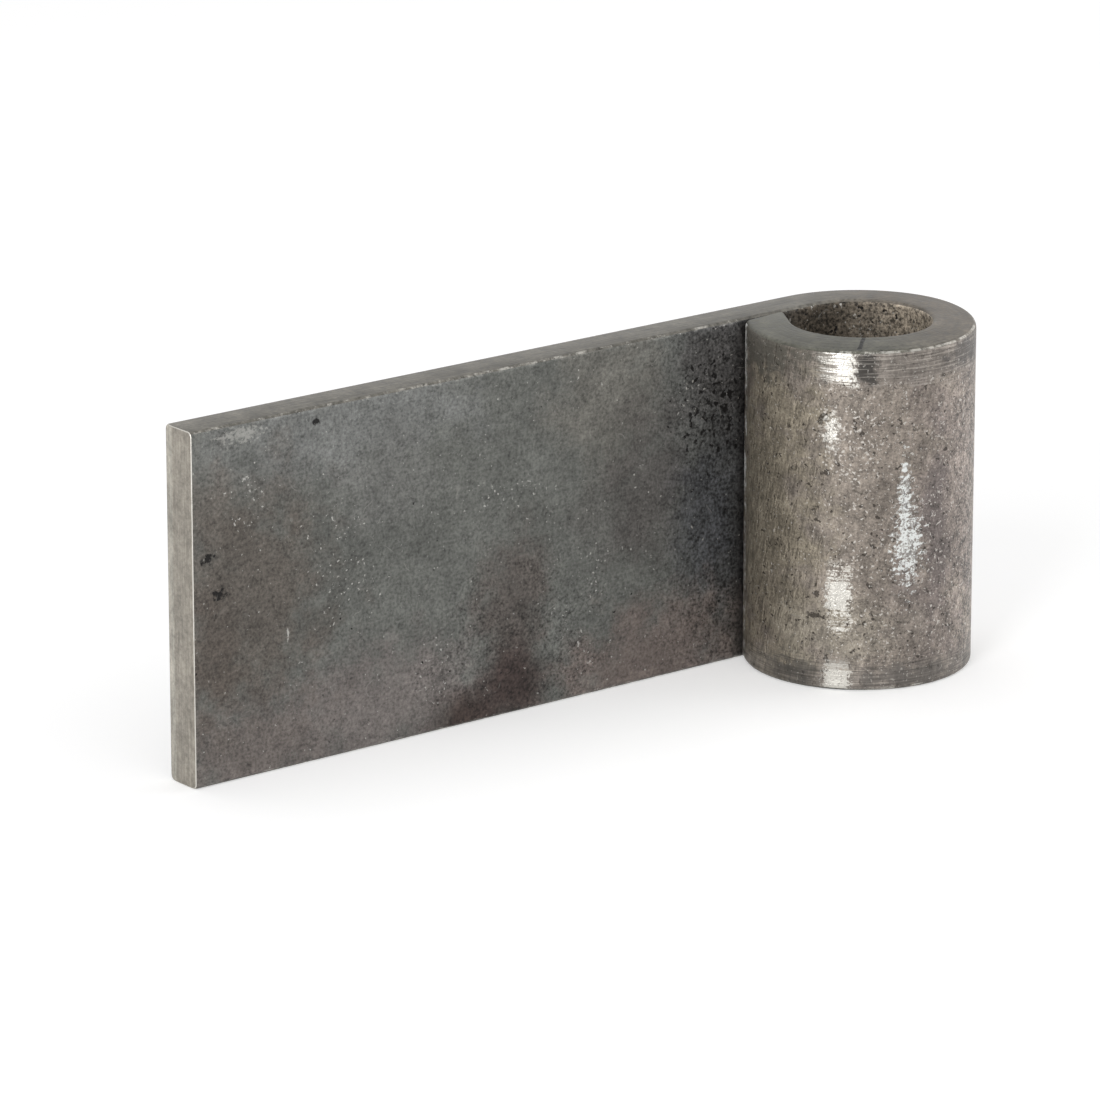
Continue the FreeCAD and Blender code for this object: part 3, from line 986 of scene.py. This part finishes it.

# %% [markdown]
# ## The narrow edges
#
# The bar's narrow edges came off the mill's side rolls, which leaves them smoother and cleaner than the
# flats, with faint lines along them. Round the eye they show as the flat ring at its end, which is coloured
# darker than the strap's edges, most of all on its front part. One crooked nick crosses the ring in front.

# %% The edge finish
def make_edges():
    tree, shader, here, mapped, _ = start_finish("bar_edges")
    parts = add(tree, "SeparateXYZ", Vector=mapped).outputs
    along, across = parts["X"], parts["Y"]
    on_eye = step(tree, along, 84, 98)
    colour = lay_over(tree, on_eye, srgb(112, 109, 102), srgb(104, 98, 90))
    colour = lay_over(tree, step(tree, along, 114, 128), colour, srgb(91, 90, 82))
    clouds = place(tree, grain, Vector=here, Size=4.0, Clump_Size=9.0, Clumping=0.7)
    grains = place(tree, grain, Vector=here, Size=0.5, Clump_Size=2.0, Clumping=0.6)
    marks = place(tree, roll_marks, Map=mapped, Length=9.0, Width=0.5)
    colour = shade(tree, colour, clouds, 0.8)
    colour = shade(tree, colour, grains, 1.6)
    colour = shade(tree, colour, marks, 0.4)
    # the map carries on over the corner, so here it runs from 20 mm at the front to 25 mm at the back
    in_depth = maths(tree, "ABSOLUTE", across)
    from_back = maths(tree, "SUBTRACT", 24.0, in_depth)
    colour = shade(tree, colour, times(tree, from_back, step(tree, along, 90, 80)), -0.06)

    # the nick leans a little as it crosses from the bore to the outside
    lean = maths(tree, "MULTIPLY_ADD", maths(tree, "SUBTRACT", across, 20), -0.22, along)
    bent = maths(tree, "MULTIPLY_ADD", maths(tree, "SINE", times(tree, across, 1.1)), 0.12, lean)
    nick = times(tree, between(tree, bent, 126.62, 127.08, 0.06), between(tree, across, 20.4, 24.3, 0.3))
    colour = lay_over(tree, times(tree, nick, 0.95), colour, srgb(26, 25, 24))
    # a thin line of wear runs round the outside of the eye and along the front of the strap
    outer_line = times(tree, between(tree, in_depth, 24.6, 24.95, 0.05), between(tree, along, 108, 131, 3))
    front_line = times(tree, between(tree, in_depth, 20.05, 20.42, 0.05), step(tree, along, 80, 76))
    line = maths(tree, "MAXIMUM", outer_line, front_line)
    amount = step(tree, along, 81, 87, 0.42, 0.48)
    worn = place(tree, worn_corner, Vector=here, Corner=line, Amount=amount, Gap_Size=1.5)
    colour = lay_over(tree, times(tree, worn, 0.6), colour, BARE_STEEL)
    plug(tree, shader.inputs["Base Color"], colour)
    plug(tree, shader.inputs["Roughness"], maths(tree, "MULTIPLY_ADD", grains, 0.4, 0.45))
    plug(tree, shader.inputs["Metallic"], step(tree, worn, 0, 1, 0.5, 1.0))
    height = maths(tree, "SUBTRACT", maths(tree, "ADD", grains, marks), times(tree, nick, 3.0))
    finish_bump(tree, shader, height, depth_mm=CLEAN_DEPTH_MM)


make_edges()

# %% [markdown]
# ## The sheared ends
#
# A fresh cut has no scale. It is bright and warm, with faint streaks down it, and rougher on the torn facet
# at the back, which is also painted paler as painted light, for the light that falls on it.

# %% The cut finish
def make_cuts():
    tree, shader, here, mapped, corner = start_finish("sheared_ends")
    depth = add(tree, "SeparateXYZ", Vector=here).outputs["Y"]
    torn_line = (eye_radius - TORN_DEPTH) / MM
    torn_and_lit = step(tree, depth, torn_line - 0.15, torn_line + 0.15)
    clouds = place(tree, grain, Vector=here, Size=4.0, Clump_Size=9.0, Clumping=0.7)
    grains = place(tree, grain, Vector=here, Size=0.4, Clump_Size=2.0, Clumping=0.7)
    streaks = place(tree, roll_marks, Map=mapped, Length=5.0, Width=0.3, Turned=math.pi / 2)
    # painted light: the torn facet is painted paler for the light that falls on it from the left and back
    colour = lay_over(tree, times(tree, torn_and_lit, 0.6), srgb(153, 147, 137), srgb(182, 178, 168))
    colour = shade(tree, colour, clouds, 0.6)
    colour = shade(tree, colour, grains, 1.0)
    colour = shade(tree, colour, streaks, 0.7)
    worn = place(tree, worn_corner, Vector=here, Corner=corner, Amount=0.6, Gap_Size=3.0)
    colour = lay_over(tree, worn, colour, BARE_STEEL)
    plug(tree, shader.inputs["Base Color"], colour)
    plug(tree, shader.inputs["Roughness"], maths(tree, "MULTIPLY_ADD", torn_and_lit, 0.1, 0.45))
    plug(tree, shader.inputs["Metallic"], step(tree, worn, 0, 1, 0.5, 1.0))
    finish_bump(tree, shader, maths(tree, "ADD", grains, streaks), depth_mm=CLEAN_DEPTH_MM)


make_cuts()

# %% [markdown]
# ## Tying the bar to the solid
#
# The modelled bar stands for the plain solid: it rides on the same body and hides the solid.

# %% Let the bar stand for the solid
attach(bar, "root")
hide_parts(NODE)
